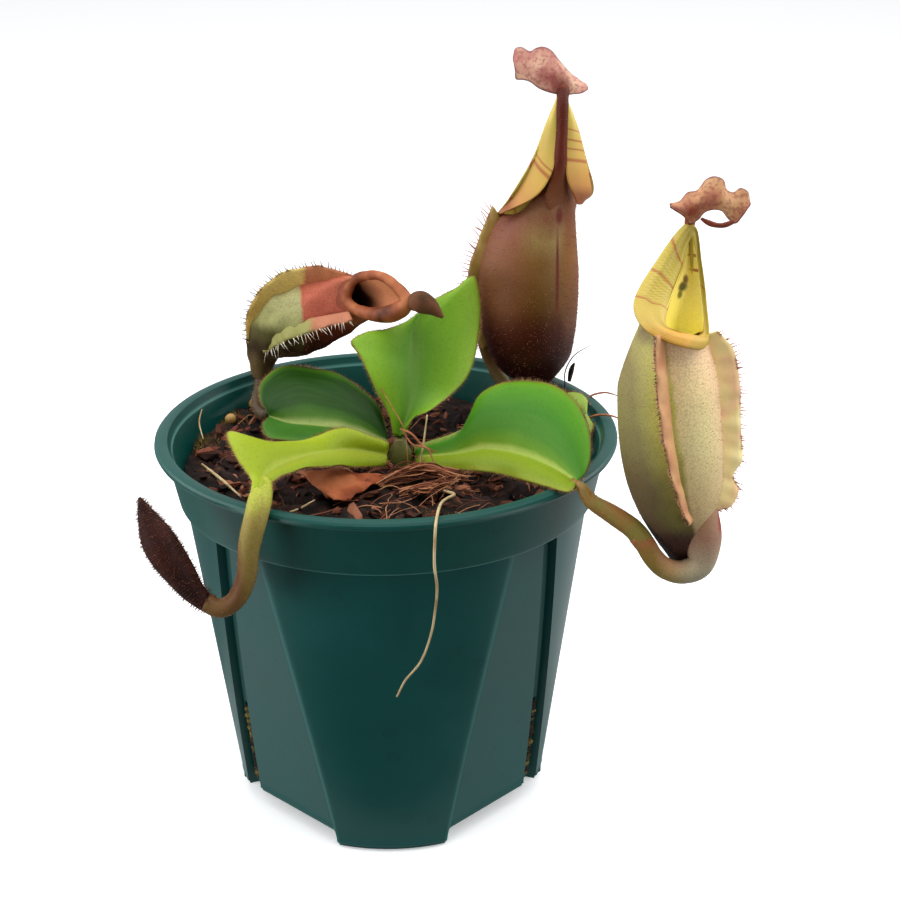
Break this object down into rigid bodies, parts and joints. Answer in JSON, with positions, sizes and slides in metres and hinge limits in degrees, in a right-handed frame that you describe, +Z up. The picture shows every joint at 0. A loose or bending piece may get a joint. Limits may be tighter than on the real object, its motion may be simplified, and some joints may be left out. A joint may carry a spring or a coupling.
{
  "type": "potted pitcher plant",
  "caption": "Carnivorous pitcher plant in a dark green slit pot, with broad notched leaves, hanging lidded pitchers on tendrils and a hairy bud over the rim.",
  "frame": {"origin": "centre of the flat boss under the pot, on the surface it stands on", "axes": "+Z up, -Y towards the viewer in the picture, +X to the right"},
  "size_m": [0.1464, 0.1241, 0.1957],
  "materials": {
    "pot_plastic": "satin moulded dark teal green",
    "bark_mix": "dark damp bark and fibre",
    "bark": "red-brown rough bark",
    "green_leaf": "soft satin leaf",
    "dry_leaf": "dry brown leaf",
    "tendril_skin": "olive with fine hairs",
    "pitcher_skin": "mottled olive and maroon skin",
    "withered_skin": "dry brown skin",
    "peristome": "waxy ribbed yellow",
    "lid_skin": "speckled mauve",
    "bud_skin": "dark maroon, hairy",
    "pellet": "tan feed pellets",
    "coir": "loose coir strands"
  },
  "bodies": {
    "root": {"pot": "pot_plastic", "stem": "green_leaf", "leaf_left_back": "green_leaf", "leaf_front_left": "green_leaf", "leaf_upright": "green_leaf", "leaf_right": "green_leaf", "leaf_right_back": "green_leaf", "dead_leaf": "dry_leaf", "tendril_old": "tendril_skin", "tendril_bud": "tendril_skin", "tendril_centre": "tendril_skin", "tendril_right": "tendril_skin", "pitcher_centre": "pitcher_skin", "pitcher_right": "pitcher_skin", "pitcher_old": "withered_skin", "peristome_centre": "peristome", "peristome_right": "peristome", "lid_centre": "lid_skin", "lid_right": "lid_skin", "lid_old": "withered_skin", "bud": "bud_skin", "bark_chip_1": "bark", "bark_chip_2": "bark", "bark_chip_3": "bark", "bark_chip_4": "bark", "bark_chip_5": "bark", "bark_chip_6": "bark", "bark_chip_7": "bark", "bark_chip_8": "bark", "pellet_1": "pellet", "pellet_2": "pellet", "pellet_3": "pellet", "coir_bundle": "coir", "dry_strand": "coir", "potting_mix": "bark_mix"}
  },
  "joints": []
}
